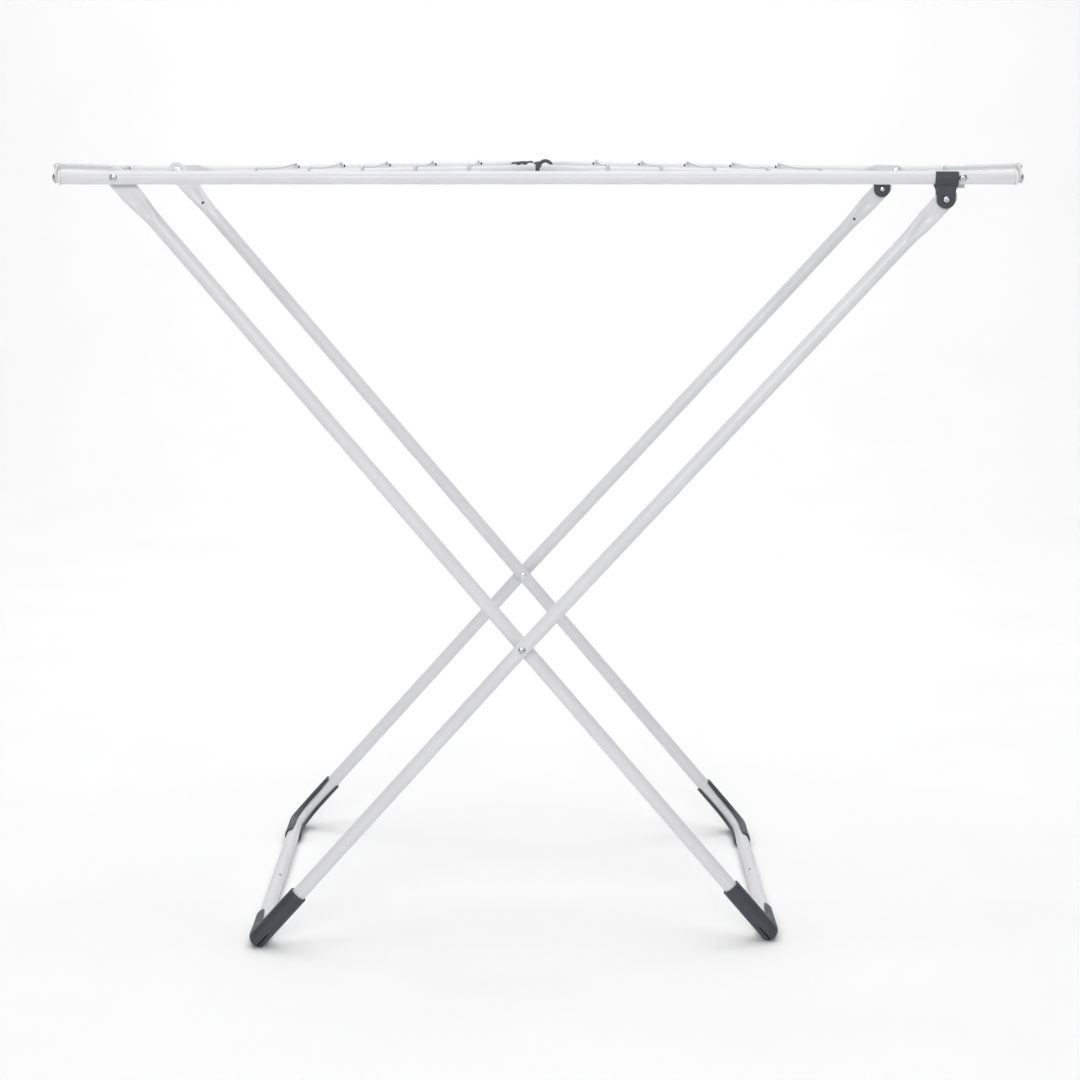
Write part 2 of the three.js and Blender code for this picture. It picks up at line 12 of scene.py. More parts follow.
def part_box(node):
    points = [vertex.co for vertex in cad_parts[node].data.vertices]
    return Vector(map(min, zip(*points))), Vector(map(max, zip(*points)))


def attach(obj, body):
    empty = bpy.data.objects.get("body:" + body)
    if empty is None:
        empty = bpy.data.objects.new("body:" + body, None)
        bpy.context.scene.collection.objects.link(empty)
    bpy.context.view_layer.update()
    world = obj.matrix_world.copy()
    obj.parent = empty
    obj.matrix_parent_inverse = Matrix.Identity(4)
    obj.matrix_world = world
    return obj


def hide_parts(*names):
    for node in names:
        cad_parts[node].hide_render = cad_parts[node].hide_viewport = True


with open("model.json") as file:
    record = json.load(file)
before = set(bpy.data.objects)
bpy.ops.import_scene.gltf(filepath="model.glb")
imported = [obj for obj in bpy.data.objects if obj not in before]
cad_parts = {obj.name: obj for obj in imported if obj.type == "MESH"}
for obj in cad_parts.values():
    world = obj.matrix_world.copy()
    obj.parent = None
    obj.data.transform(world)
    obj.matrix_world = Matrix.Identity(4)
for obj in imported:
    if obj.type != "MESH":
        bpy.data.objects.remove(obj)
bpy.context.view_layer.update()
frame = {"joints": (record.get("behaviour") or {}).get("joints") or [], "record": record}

MM = 0.001
X = Vector((1, 0, 0))
Y = Vector((0, 1, 0))
Z = Vector((0, 0, 1))
HANDS = ((-1, "left"), (1, "right"))
SIDES = ((-1, "front"), (1, "back"))
JOINTS = {joint["name"]: joint for joint in frame["joints"]}
BODIES = frame["record"]["behaviour"]["bodies"]
BODY_OF = {node: body for body, nodes in BODIES.items() for node in nodes}

# Sections of the tubes and wires
LEG_R = 9 * MM
WING_R = 6 * MM
END_BAR_R = 4.15 * MM
WIRE_R = 1.5 * MM
LEG_BEND = 38 * MM
WING_BEND = 70 * MM
WING_TILT = math.radians(1)

# Screws: heads, shanks and nuts
SCREW_HEAD_R = 4.7 * MM
SCREW_HEAD_H = 2.7 * MM
SCREW_R = 2.4 * MM
NUT_T = 3.5 * MM
THREAD_PITCH = 0.5 * MM
END_HEAD_H = 3.4 * MM
CLIP_HEAD_R = 4.0 * MM
CLIP_HEAD_H = 2.2 * MM
CLIP_BOLT_R = 1.9 * MM

SHADE_SLOT = 1  # the material index of the painted shade in punched holes and of the painted shadow spots by the wire welds


def corners_of(node):
    low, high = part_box(node)
    return Vector(low), Vector(high)


def middle(node):
    low, high = corners_of(node)
    return (low + high) / 2


def extent(node):
    low, high = corners_of(node)
    return high - low


def hinge_point(joint):
    return Vector(JOINTS[joint]["pos_m"])


def smoothstep(low, high, value):
    share = min(1.0, max(0.0, (value - low) / (high - low)))
    return share * share * (3 - 2 * share)


def mix(a, b, share):
    return a + (b - a) * share


# Materials ---------------------------------------------------------------------------------------


class Finish:
    """A material under construction: a Principled shader fed by noise in the object's own space."""

    def __init__(self, name, **sockets):
        self.material = bpy.data.materials.new(name)
        self.material.use_nodes = True
        self.tree = self.material.node_tree
        self.shader = self.tree.nodes["Principled BSDF"]
        for socket, value in sockets.items():
            self.shader.inputs[socket.replace("_", " ")].default_value = value
        self.place = self.add("ShaderNodeTexCoord").outputs["Object"]

    def add(self, kind, **inputs):
        node = self.tree.nodes.new(kind)
        for name, value in inputs.items():
            node.inputs[name].default_value = value
        return node

    def link(self, output, target):
        self.tree.links.new(output, target)

    def noise(self, scale, detail=2.0, stretch=None, roughness=0.5):
        node = self.add("ShaderNodeTexNoise", Scale=scale, Detail=detail, Roughness=roughness)
        if stretch:
            mapping = self.add("ShaderNodeMapping", Scale=stretch)
            self.link(self.place, mapping.inputs["Vector"])
            self.link(mapping.outputs["Vector"], node.inputs["Vector"])
        else:
            self.link(self.place, node.inputs["Vector"])
        return node.outputs["Fac"]

    def cells(self, scale):
        node = self.add("ShaderNodeTexVoronoi", Scale=scale)
        self.link(self.place, node.inputs["Vector"])
        return node.outputs["Distance"]

    def ramp(self, source, stops):
        node = self.add("ShaderNodeValToRGB")
        elements = node.color_ramp.elements
        while len(elements) < len(stops):
            elements.new(0.5)
        for element, (position, colour) in zip(elements, stops):
            element.position = position
            element.color = (*colour, 1.0)
        self.link(source, node.inputs["Fac"])
        return node.outputs["Color"]

    def blend(self, factor, first, second):
        node = self.add("ShaderNodeMix")
        node.data_type = "RGBA"
        self.link(factor, node.inputs["Factor"])
        self.link(first, node.inputs["A"])
        self.link(second, node.inputs["B"])
        return node.outputs["Result"]

    def spread(self, source, low, high):
        node = self.add("ShaderNodeMapRange")
        node.inputs["From Min"].default_value = 0.25
        node.inputs["From Max"].default_value = 0.75
        node.inputs["To Min"].default_value = low
        node.inputs["To Max"].default_value = high
        self.link(source, node.inputs["Value"])
        return node.outputs["Result"]

    def upward(self):
        """1 where the surface faces up, 0 where it faces sideways or down."""
        geometry = self.add("ShaderNodeNewGeometry")
        split = self.add("ShaderNodeSeparateXYZ")
        self.link(geometry.outputs["Normal"], split.inputs["Vector"])
        node = self.add("ShaderNodeMapRange")
        node.inputs["From Min"].default_value = 0.55
        node.inputs["From Max"].default_value = 1.0
        self.link(split.outputs["Z"], node.inputs["Value"])
        return node.outputs["Result"]

    def colour(self, source):
        self.link(source, self.shader.inputs["Base Color"])

    def roughness(self, source):
        self.link(source, self.shader.inputs["Roughness"])

    def bumps(self, *layers):
        """Each layer is (height output, strength, distance in metres), the coarsest first."""
        normal = None
        for height, strength, distance in layers:
            node = self.add("ShaderNodeBump", Strength=strength, Distance=distance)
            self.link(height, node.inputs["Height"])
            if normal:
                self.link(normal, node.inputs["Normal"])
            normal = node.outputs["Normal"]
        self.link(normal, self.shader.inputs["Normal"])
        return self.material


def powder_coat(name, light, dark, gloss):
    """Baked powder paint: orange peel, faint cloudiness, a few darker specks and dulled patches."""
    finish = Finish(name, Coat_Weight=0.12, Coat_Roughness=0.15, Specular_IOR_Level=0.35)
    clouds = finish.ramp(finish.noise(9, 3), [(0.3, dark), (0.7, light)])
    grime = tuple(channel * 0.86 for channel in dark)
    specks = finish.ramp(finish.noise(1500, 1), [(0.7, (0, 0, 0)), (0.76, (1, 1, 1))])
    spotted = finish.blend(specks, clouds, finish.ramp(finish.noise(30), [(0, grime), (1, dark)]))
    finish.colour(spotted)
    finish.roughness(finish.spread(finish.noise(55, 4), *gloss))
    return finish.bumps(
        (finish.noise(140, 2), 0.05, 0.2 * MM),
        (finish.noise(620, 3), 0.08, 0.05 * MM),
    )


def wire_coat():
    """Paint over drawn wire: faint lengthwise lines and patchy gloss."""
    finish = Finish("wire_paint", Coat_Weight=0.15, Coat_Roughness=0.2, IOR=1.5)
    lines = finish.noise(1, 3, stretch=(2200, 60, 2200))
    finish.colour(finish.ramp(lines, [(0.3, (0.55, 0.555, 0.565)), (0.7, (0.66, 0.665, 0.675))]))
    finish.roughness(finish.spread(finish.noise(90, 3), 0.3, 0.48))
    return finish.bumps((lines, 0.2, 0.1 * MM), (finish.noise(800, 2), 0.15, 0.08 * MM))


def moulded_dark():
    """Fine-textured moulding: spark-eroded grain, flow marks, and paler mottled colour on upward-facing
    tops, a painted highlight.
    """
    finish = Finish("dark_plastic", IOR=1.48, Specular_IOR_Level=0.42)
    flow = finish.noise(1, 3, stretch=(22, 60, 40))
    body = finish.ramp(flow, [(0.3, (0.042, 0.048, 0.057)), (0.7, (0.056, 0.063, 0.073))])
    rubbing_and_top_highlight = finish.ramp(finish.noise(300, 4), [(0.35, (0.052, 0.059, 0.069)), (0.8, (0.11, 0.121, 0.135))])
    # painted highlight: surfaces that face up get the paler mottled colour, as if lit from above
    finish.colour(finish.blend(finish.upward(), body, rubbing_and_top_highlight))
    finish.roughness(finish.spread(finish.noise(160, 4), 0.42, 0.62))
    return finish.bumps(
        (finish.noise(90, 2), 0.12, 0.4 * MM),
        (finish.cells(1900), 0.35, 0.09 * MM),
    )


def moulded_white():
    """Glossy white moulding, a little yellower and softer than the paint."""
    finish = Finish("white_plastic", IOR=1.46, Subsurface_Weight=0.08)
    finish.shader.inputs["Subsurface Radius"].default_value = (0.002, 0.0016, 0.0012)
    flow = finish.noise(70, 3)
    finish.colour(finish.ramp(flow, [(0.3, (0.73, 0.725, 0.70)), (0.7, (0.80, 0.795, 0.775))]))
    finish.roughness(finish.spread(finish.noise(240, 3), 0.22, 0.36))
    return finish.bumps((finish.noise(420, 2), 0.14, 0.1 * MM))


def zinc_plate():
    """Bright zinc plating: small crystal patches and a few dull spots."""
    finish = Finish("zinc", Metallic=1.0)
    patches = finish.ramp(finish.cells(900), [(0.1, (0.50, 0.52, 0.54)), (0.6, (0.68, 0.70, 0.71))])
    dull = finish.ramp(finish.noise(500, 4), [(0.55, (0, 0, 0)), (0.72, (1, 1, 1))])
    tarnish = finish.ramp(finish.noise(200), [(0, (0.30, 0.31, 0.33)), (1, (0.42, 0.42, 0.43))])
    finish.colour(finish.blend(dull, patches, tarnish))
    finish.roughness(finish.spread(finish.noise(700, 4), 0.16, 0.34))
    return finish.bumps((finish.noise(1100, 3), 0.25, 0.06 * MM))


def painted_hole_shade():
    """Near-black painted shade over the unpainted steel inside a punched hole, also used for the painted
    shadow spots by the wire welds.
    """
    finish = Finish("hole_shadow", Metallic=0.4)
    finish.colour(finish.ramp(finish.noise(600), [(0.3, (0.02, 0.02, 0.022)), (0.7, (0.06, 0.06, 0.06))]))
    finish.roughness(finish.spread(finish.noise(300), 0.5, 0.8))
    return finish.bumps((finish.noise(900), 0.3, 0.1 * MM))


def studio_paper():
    finish = Finish("studio_paper", Roughness=0.9, Specular_IOR_Level=0.1)
    finish.colour(finish.ramp(finish.noise(3, 4), [(0.3, (0.93, 0.93, 0.93)), (0.7, (0.95, 0.95, 0.95))]))
    return finish.bumps((finish.noise(240, 3), 0.05, 0.2 * MM))


WHITE_PAINT = powder_coat("white_paint", (0.70, 0.70, 0.72), (0.66, 0.66, 0.68), (0.28, 0.40))
WIRE_PAINT = wire_coat()
DARK_PLASTIC = moulded_dark()
WHITE_PLASTIC = moulded_white()
ZINC = zinc_plate()
# painted shade: near-black colour for punched holes and the shadow spots by the wire welds
HOLE_SHADE = painted_hole_shade()


# Mesh building -----------------------------------------------------------------------------------


class Shell:
    """A mesh being built from rings of points and loose faces."""

    def __init__(self):
        self.mesh = bmesh.new()

    def ring_skin(self, rings, closed=True):
        """Joins equal rings of points one after the other, with an n-gon at each end."""
        loops = [[self.mesh.verts.new(point) for point in ring] for ring in rings]
        for first, second in zip(loops, loops[1:]):
            count = len(first)
            for i in range(count):
                j = (i + 1) % count
                self.mesh.faces.new((first[i], first[j], second[j], second[i]))
        if closed:
            self.mesh.faces.new(list(reversed(loops[0])))
            self.mesh.faces.new(loops[-1])
        return self

    def dent(self, centre, direction, radius, depth, slot):
        """Punches a round hole of that depth into the side that faces direction; the faces inside it take
        the given slot, which holds painted shade.
        """
        for vert in self.mesh.verts:
            offset = vert.co - centre
            height = offset.dot(direction)
            reach = (offset - direction * height).length
            if height > 0 and reach < radius:
                vert.co -= direction * depth * (1 - smoothstep(0.72 * radius, radius, reach))
                for face in vert.link_faces:
                    if reach < 0.9 * radius:
                        face.material_index = slot
        return self

    def bead(self, centre, direction, length, width, height, up, slot=0):
        """A weld bead: a low rounded lump, long along direction."""
        across = up.cross(direction).normalized()
        before = len(self.mesh.faces)
        rings = []
        for i in range(1, 10):
            angle = math.pi * i / 10
            ring = []
            for k in range(14):
                turn = 2 * math.pi * k / 14
                ring.append(
                    centre
                    + direction * (-length * math.cos(angle))
                    + across * (width * math.sin(angle) * math.cos(turn))
                    + up * (height * math.sin(angle) * math.sin(turn))
                )
            rings.append(ring)
        self.ring_skin(rings)
        for face in list(self.mesh.faces)[before:]:
            face.material_index = slot
        return self

    def obj(self, name, *materials, sharp=38):
        bmesh.ops.recalc_face_normals(self.mesh, faces=self.mesh.faces)
        data = bpy.data.meshes.new(name)
        self.mesh.to_mesh(data)
        self.mesh.free()
        for material in materials:
            data.materials.append(material)
        data.polygons.foreach_set("use_smooth", [True] * len(data.polygons))
        data.set_sharp_from_angle(angle=math.radians(sharp))
        piece = bpy.data.objects.new(name, data)
        bpy.context.scene.collection.objects.link(piece)
        return piece


def settle(piece, *nodes, body=None):
    """Puts a finished piece on its body, in place of the CAD nodes it stands for."""
    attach(piece, body or BODY_OF[nodes[0]])
    if nodes:
        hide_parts(*nodes)
    return piece


def round_box(half_side, half_normal, count):
    """Points of a tube section, round or pressed flat, evenly spaced. (side, normal) pairs."""
    thin = min(half_side, half_normal)
    straight = max(half_side, half_normal) - thin
    length = 4 * straight + 2 * math.pi * thin
    points = []
    for i in range(count):
        s = (i + 0.5) / count * length
        if s < straight:
            point = (thin, s)
        elif s < straight + math.pi * thin:
            angle = (s - straight) / thin
            point = (thin * math.cos(angle), straight + thin * math.sin(angle))
        elif s < 3 * straight + math.pi * thin:
            point = (-thin, 2 * straight + math.pi * thin - s)
        elif s < 3 * straight + 2 * math.pi * thin:
            angle = (s - 3 * straight) / thin - math.pi
            point = (-thin * math.cos(angle), -straight - thin * math.sin(angle))
        else:
            point = (thin, s - 4 * straight - 2 * math.pi * thin)
        points.append(point if half_side <= half_normal else (point[1], -point[0]))
    return points


Station = namedtuple("Station", "at along side normal valley", defaults=(0.0,))


def tube_ring(station, plane_normal, count):
    """The points of one station; side lies in the path's plane and a valley dents both flats."""
    across = plane_normal.cross(station.along)
    ring = []
    for u, v in round_box(station.side, station.normal, count):
        if station.valley:
            u -= math.copysign(station.valley * math.exp(-((v / (0.4 * station.normal)) ** 2)), u)
        ring.append(station.at + across * u + plane_normal * v)
    return ring


def bent_path(corners, radii, steps):
    """(point, direction) pairs along a path with rounded corners."""
    path = []
    for i, corner in enumerate(corners):
        before = (corner - corners[i - 1]).normalized() if i else None
        after = (corners[i + 1] - corner).normalized() if i + 1 < len(corners) else None
        if before is None or after is None:
            path.append((corner.copy(), before or after))
        elif radii[i] == 0:
            path.append((corner.copy(), (before + after).normalized()))
        else:
            turn = before.angle(after)
            axis = before.cross(after).normalized()
            start = corner - before * radii[i] * math.tan(turn / 2)
            centre = start + axis.cross(before) * radii[i]
            for k in range(steps + 1):
                spin = Matrix.Rotation(turn * k / steps, 3, axis)
                path.append((centre + spin @ (start - centre), spin @ before))
    return path


Tip = namedtuple("Tip", "half thick reach flat blend tube valley")


def pressed_tip(hole, along, lean, tip):
    """Stations of a tube end pressed flat, from its rounded edge to the full round tube."""
    stations = []
    for degrees in (86, 76, 64, 50, 36, 22, 9):
        angle = math.radians(degrees)
        at = hole - along * (tip.reach + tip.half * math.sin(angle)) + lean
        edge = tip.thick / 2 * (0.55 if degrees == 86 else 1)
        stations.append(Station(at, along, edge, tip.half * math.cos(angle)))
    stations.append(Station(hole + lean, along, tip.thick / 2, tip.half))
    distances = [tip.flat + tip.blend * i / 22 for i in range(23)]
    fine_start = tip.flat + tip.blend * 0.58
    distances += [fine_start + 0.55 * MM * i for i in range(22)]
    for distance in sorted(distances):
        share = min(1.0, (distance - tip.flat) / tip.blend)
        swell = 0.35 * share + 0.65 * smoothstep(0, 1, share) if share < 1 else 1.0
        swell = min(1.0, swell + 0.35 * share * (1 - share))
        at = hole + along * distance + lean * (1 - swell)
        side = mix(tip.thick / 2, tip.tube, swell)
        normal = mix(tip.half, tip.tube, smoothstep(0, 1, share))
        valley = tip.valley * math.sin(math.pi * share) ** 1.4
        stations.append(Station(at, along, side, normal, valley))
    return stations


def backwards(stations):
    return [s._replace(along=-s.along) for s in reversed(stations)]


def turned(shell, origin, axis, profile, count):
    """A turned solid; the profile is (distance along the axis, radius) pairs."""
    other = Z if abs(axis.x) > 0.5 else X
    across = axis.cross(other)
    rings = []
    for distance, radius in profile:
        ring = []
        for i in range(count):
            angle = 2 * math.pi * (i + 0.5) / count
            offset = other * math.cos(angle) + across * math.sin(angle)
            ring.append(origin + axis * distance + offset * radius)
        rings.append(ring)
    return shell.ring_skin(rings)


def rounded(profile_start, profile_end, radius, corner, steps=4):
    """Profile points that round the outer corner from a face out to a cylinder."""
    points = []
    for i in range(steps + 1):
        angle = math.pi / 2 * i / steps
        points.append(
            (
                profile_start + corner * (1 - math.cos(angle)),
                radius - corner * (1 - math.sin(angle)),
            )
        )
    points += [(profile_end - (d - profile_start), r) for d, r in reversed(points)]
    return points


def prism(name, outline, origin, width, material=DARK_PLASTIC):
    """An outline in X and Z, pushed along Y to that width about origin."""
    shell = Shell()
    rings = []
    for y in (-width / 2, width / 2):
        rings.append([origin + Vector((x, y, z)) for x, z in outline])
    shell.ring_skin(rings)
    return shell.obj(name, material)


def carve(base, steps):
    """Applies a run of (operation, tool) booleans to a piece and clears the tools away."""
    for operation, tool in steps:
        modifier = base.modifiers.new(operation, "BOOLEAN")
        modifier.operation = operation
        modifier.solver = "EXACT"
        modifier.object = tool
    bpy.context.view_layer.update()
    graph = bpy.context.evaluated_depsgraph_get()
    data = bpy.data.meshes.new_from_object(base.evaluated_get(graph))
    base.modifiers.clear()
    base.data = data
    for _, tool in steps:
        bpy.data.objects.remove(tool)
    return base


def soften(piece, width, segments=3, angle=34):
    """Rounds a piece's sharp edges and smooths its shading."""
    modifier = piece.modifiers.new("soft_edges", "BEVEL")
    modifier.width = width
    modifier.segments = segments
    modifier.limit_method = "ANGLE"
    modifier.angle_limit = math.radians(angle)
    modifier.harden_normals = True
    piece.data.polygons.foreach_set("use_smooth", [True] * len(piece.data.polygons))
    piece.data.set_sharp_from_angle(angle=math.radians(angle))
    return piece


def arc(centre_x, centre_z, radius, start, end, steps):
    """Points of an arc in X and Z, from start to end degrees."""
    points = []
    for i in range(steps + 1):
        angle = math.radians(mix(start, end, i / steps))
        points.append((centre_x + radius * math.cos(angle), centre_z + radius * math.sin(angle)))
    return points


# Fasteners ---------------------------------------------------------------------------------------


def pan_head(shell, origin, axis, radius, height, spin):
    """A domed screw head with a cross recess. origin is under the head, axis points outwards."""
    other = Z if abs(axis.x) > 0.5 else X
    across = axis.cross(other)
    count = 72
    arm_width = 0.115 * radius
    arm_length = 0.56 * radius

    def arm(u, v):
        narrow = arm_width * (1.25 - 0.5 * abs(u) / arm_length)
        edge = 0.06 * radius
        inside = 1 - smoothstep(narrow - edge, narrow + edge, abs(v))
        return inside * (1 - smoothstep(arm_length - edge, arm_length + edge, abs(u)))

    def point(r, i):
        angle = 2 * math.pi * i / count
        dome = height * (1 - (r / radius) ** 3.2) ** 0.42
        u = r * math.cos(angle + spin)
        v = r * math.sin(angle + spin)
        cross = max(arm(u, v), arm(v, u))
        depth = cross * 0.72 * height * (1 - 0.5 * r / arm_length)
        place = other * (r * math.cos(angle)) + across * (r * math.sin(angle))
        return origin + place + axis * (dome - max(0.0, depth))

    shares = [k / 17 for k in range(1, 17)] + [0.97, 0.99, 1.0]
    rings = [[point(radius * share, i) for i in range(count)] for share in shares]
    rings.append([p - axis * 0.2 * MM for p in rings[-1]])
    return shell.ring_skin(rings)


def hex_nut(shell, origin, axis, radius, height):
    """A chamfered hexagon nut. origin is the face it bears on, axis points away from it."""
    profile = [
        (0, radius * 0.86),
        (0.08 * height, radius),
        (0.88 * height, radius),
        (height, radius * 0.84),
    ]
    return turned(shell, origin, axis, profile, 6)


def bolt_span(node):
    """(centre, side, inner end, outer end) of a bolt along Y, the ends as distances from Y = 0."""
    low, high = corners_of(node)
    centre = middle(node)
    side = math.copysign(1, centre.y)
    inner, outer = sorted((low.y * side, high.y * side))
    return centre, side, inner, outer


def headed_screw(name, node, spin):
    """The screw of a CAD node that runs along Y, its head outwards, and its nut at the inner end."""
    centre, side, inner, outer = bolt_span(node)
    axis = Y * side
    seat = Vector((centre.x, side * (outer - SCREW_HEAD_H), centre.z))
    shell = Shell()
    pan_head(shell, seat, axis, SCREW_HEAD_R, SCREW_HEAD_H, spin)
    length = outer - SCREW_HEAD_H - inner
    end = [(length - 1 * MM, SCREW_R), (length - 0.2 * MM, SCREW_R * 0.8)]
    threads = []
    distance = length - NUT_T - 3 * MM
    while distance < length - 1.2 * MM:
        threads += [(distance, SCREW_R), (distance + THREAD_PITCH / 2, SCREW_R * 0.88)]
        distance += THREAD_PITCH
    turned(shell, seat, -axis, [(0, SCREW_R), *threads, *end], 24)
    settle(shell.obj(name, ZINC), node)
    bearing = Vector((centre.x, side * (inner + NUT_T), centre.z))
    nut_name = name.replace("screw", "nut")
    nut = Shell()
    hex_nut(nut, bearing, -axis, SCREW_HEAD_R, NUT_T * 0.72)
    turned(nut, bearing + axis * 0.15 * MM, -axis, rounded(0, 0.5 * MM, 5.0 * MM, 0.15 * MM), 40)
    settle(nut.obj(nut_name, ZINC, sharp=25), body=BODY_OF[node])
    insert = Shell()
    turned(insert, bearing - axis * NUT_T * 0.7, -axis, rounded(0, NUT_T * 0.22, 3.6 * MM, 0.3 * MM), 32)
    settle(insert.obj(f"{nut_name}_insert", WHITE_PLASTIC), body=BODY_OF[node])


# Rail frame --------------------------------------------------------------------------------------


def rail_tube(word):
    """A straight tube with eased ends and a drilled hole at each pivot."""
    node = f"{word}_rail"
    centre = middle(node)
    half = extent(node).x / 2
    radius = extent(node).z / 2
    marks = [hinge_point("left_wing_hinge").x, hinge_point("right_wing_hinge").x]
    distances = [-half, -half + 0.25 * MM, -half + 0.8 * MM]
    for mark in marks:
        distances += [mark + 0.6 * MM * k for k in range(-8, 9)]
    distances += [mix(-half, half, k / 40) for k in range(1, 40)]
    distances += [half - 0.8 * MM, half - 0.25 * MM, half]
    rings = []
    for distance in sorted(distances):
        ease = 0.3 * MM * max(0.0, 1 - (half - abs(distance)) / (0.8 * MM))
        station = Station(Vector((distance, centre.y, centre.z)), X, radius - ease, radius - ease)
        rings.append(tube_ring(station, Z, 56))
    shell = Shell().ring_skin(rings)
    for mark in marks:
        for direction in (Y, -Y):
            hole = Vector((mark, centre.y, centre.z))
            # painted shade: the faces inside each dented hole take the near-black slot
            shell.dent(hole, direction, 3.1 * MM, 1.2 * MM, SHADE_SLOT)
    settle(shell.obj(f"{word}_rail_tube", WHITE_PAINT, HOLE_SHADE), node)


def outer_face(node, end):
    """The middle of a node's box on the face that points away from the rack's centre."""
    low, high = corners_of(node)
    centre = middle(node)
    return Vector((high.x if end > 0 else low.x, centre.y, centre.z))


def rail_plug(hand, end, word):
    """A moulded cap: rounded flange, a shadow step, and a ribbed spigot inside the tube."""
    node = f"{word}_{hand}_rail_plug"
    flange = extent(node).z / 2
    origin = outer_face(node, end)
    profile = [(0, 2.6 * MM), (0, flange - 2.4 * MM), (0.35 * MM, flange - 2.0 * MM)]
    profile += [(0.35 * MM, flange - 1.5 * MM)]
    profile += [(0.35 * MM + 0.9 * MM * (1 - math.cos(a)), flange - 0.9 * MM * (1 - math.sin(a)))
                for a in (0.3, 0.7, 1.1, math.pi / 2)]
    profile += [(3.0 * MM, flange), (3.35 * MM, flange - 0.15 * MM), (3.5 * MM, flange - 0.5 * MM)]
    profile += [(3.5 * MM, 6.7 * MM)]
    for k in range(4):
        start = (6 + 3 * k) * MM
        profile += [(start, 6.7 * MM), (start + 0.4 * MM, 6.9 * MM), (start + 1.4 * MM, 6.5 * MM)]
    profile += [(20 * MM, 5.6 * MM)]
    cap = turned(Shell(), origin, X * -end, profile, 56)
    settle(cap.obj(f"{word}_{hand}_rail_cap", WHITE_PLASTIC), node)


def end_screw(hand, end, word):
    """The screw through a crossbar's tab into the rail plug, with a plain pointed shank."""
    node = f"{word}_{hand}_end_screw"
    seat = outer_face(node, end) - X * end * END_HEAD_H
    shell = Shell()
    pan_head(shell, seat, X * end, extent(node).z / 2, END_HEAD_H, 0.4 * end + (word == "back"))
    turned(shell, seat, X * -end, [(0, SCREW_R), (16 * MM, SCREW_R), (18 * MM, 0.9 * MM)], 24)
    settle(shell.obj(f"{word}_{hand}_end_bolt", ZINC), node)


TAB_HALF = 6.3 * MM
TAB_HALF_T = 1.3 * MM
FRONT_RISE = 14 * MM
BACK_RISE = 4 * MM
BACK_CRANK = 22 * MM


def end_crossbar(hand):
    """A round bar pressed into flat tabs at both ends, its front end cranked up over the rail."""
    node = f"{hand}_end_crossbar"
    centre = middle(node)
    rail = middle("front_rail")
    rail_y = abs(rail.y)
    front = Vector((centre.x, -rail_y, rail.z))
    back = Vector((centre.x, rail_y, rail.z))
    front_top = front + Z * FRONT_RISE
    back_top = back + Vector((0, -BACK_CRANK, BACK_RISE))
    tab_start = back_top.lerp(back, 0.5)
    between = [front_top.lerp(back_top, share) for share in
               (0.03, 0.1, 0.3, 0.6, 0.93, 0.94, 0.95, 0.96, 0.975)]
    corners = [front, front.lerp(front_top, 0.25), front.lerp(front_top, 0.4), front_top, *between,
               back_top, tab_start, back]
    radii = [0, 0, 0, 8 * MM, *([0] * len(between)), 40 * MM, 0, 0]
    path = bent_path(corners, radii, 12)
    stations = []
    for at, along in path:
        from_front = smoothstep(11 * MM, 17 * MM, at.y + rail_y + at.z - rail.z)
        from_back = smoothstep(12 * MM - rail_y, 36 * MM - rail_y, -at.y)
        share = min(from_front, from_back)
        side = mix(TAB_HALF, END_BAR_R, share)
        stations.append(Station(at, along, side, mix(TAB_HALF_T, END_BAR_R, share)))
    for degrees in (10, 25, 40, 55, 68, 80):
        angle = math.radians(degrees)
        half = TAB_HALF * math.cos(angle)
        at = front - Z * TAB_HALF * math.sin(angle)
        stations.insert(0, Station(at, Z.copy(), half, TAB_HALF_T))
        out = path[-1][1]
        stations.append(Station(back + out * TAB_HALF * math.sin(angle), out, half, TAB_HALF_T))
    rings = [tube_ring(station, X, 40) for station in stations]
    settle(Shell().ring_skin(rings).obj(f"{hand}_end_bar", WHITE_PAINT), node)


def centre_wire(hand, number):
    """A welded cross wire that sags slightly, with a paint-filled fillet where it meets each rail."""
    node = f"centre_wire_{hand}_{number}"
    low, high = corners_of(node)
    rail = middle("front_rail")
    contact = abs(rail.y) - 6.4 * MM
    end_z = rail.z - 4.9 * MM
    sag = end_z - WIRE_R - low.z
    x = (low.x + high.x) / 2
    shares = [k / 12 for k in range(-12, 13)] + [-0.9955, -0.991, -0.985, 0.985, 0.991, 0.9955]
    rings = []
    for share in sorted(shares):
        drop = sag * (1 - share * share)
        weld = max(0.0, 1 - (1 - abs(share)) * contact / (2.6 * MM))
        radius = WIRE_R + 1.5 * MM * weld * weld
        at = Vector((x, share * contact, end_z - drop))
        rings.append(tube_ring(Station(at, Y, radius, radius), X, 20))
    settle(Shell().ring_skin(rings).obj(f"centre_{hand}_wire_{number}", WIRE_PAINT), node)


def pivot_spacer(node, name):
    """A moulded washer with rounded rims between two tubes on one screw."""
    centre = middle(node)
    size = extent(node)
    side = math.copysign(1, centre.y)
    origin = Vector((centre.x, centre.y - side * size.y / 2, centre.z))
    profile = rounded(0, size.y, size.x / 2, min(0.5 * MM, 0.3 * size.y))
    settle(turned(Shell(), origin, Y * side, profile, 48).obj(name, DARK_PLASTIC), node)


def arm_washer(word):
    """A washer plate with a round top and a square tail below the rail."""
    node = f"{word}_right_arm_washer"
    centre = middle(node)
    size = extent(node)
    half = size.x / 2
    top = size.z / 2 - half
    outline = arc(0, top, half, 0, 180, 24)
    outline += [(-half, -size.z / 2), (half, -size.z / 2)]
    plate = prism(f"{word}_right_pivot_washer", outline, centre, size.y, WHITE_PAINT)
    settle(soften(plate, 0.35 * MM), node)


# Legs --------------------------------------------------------------------------------------------

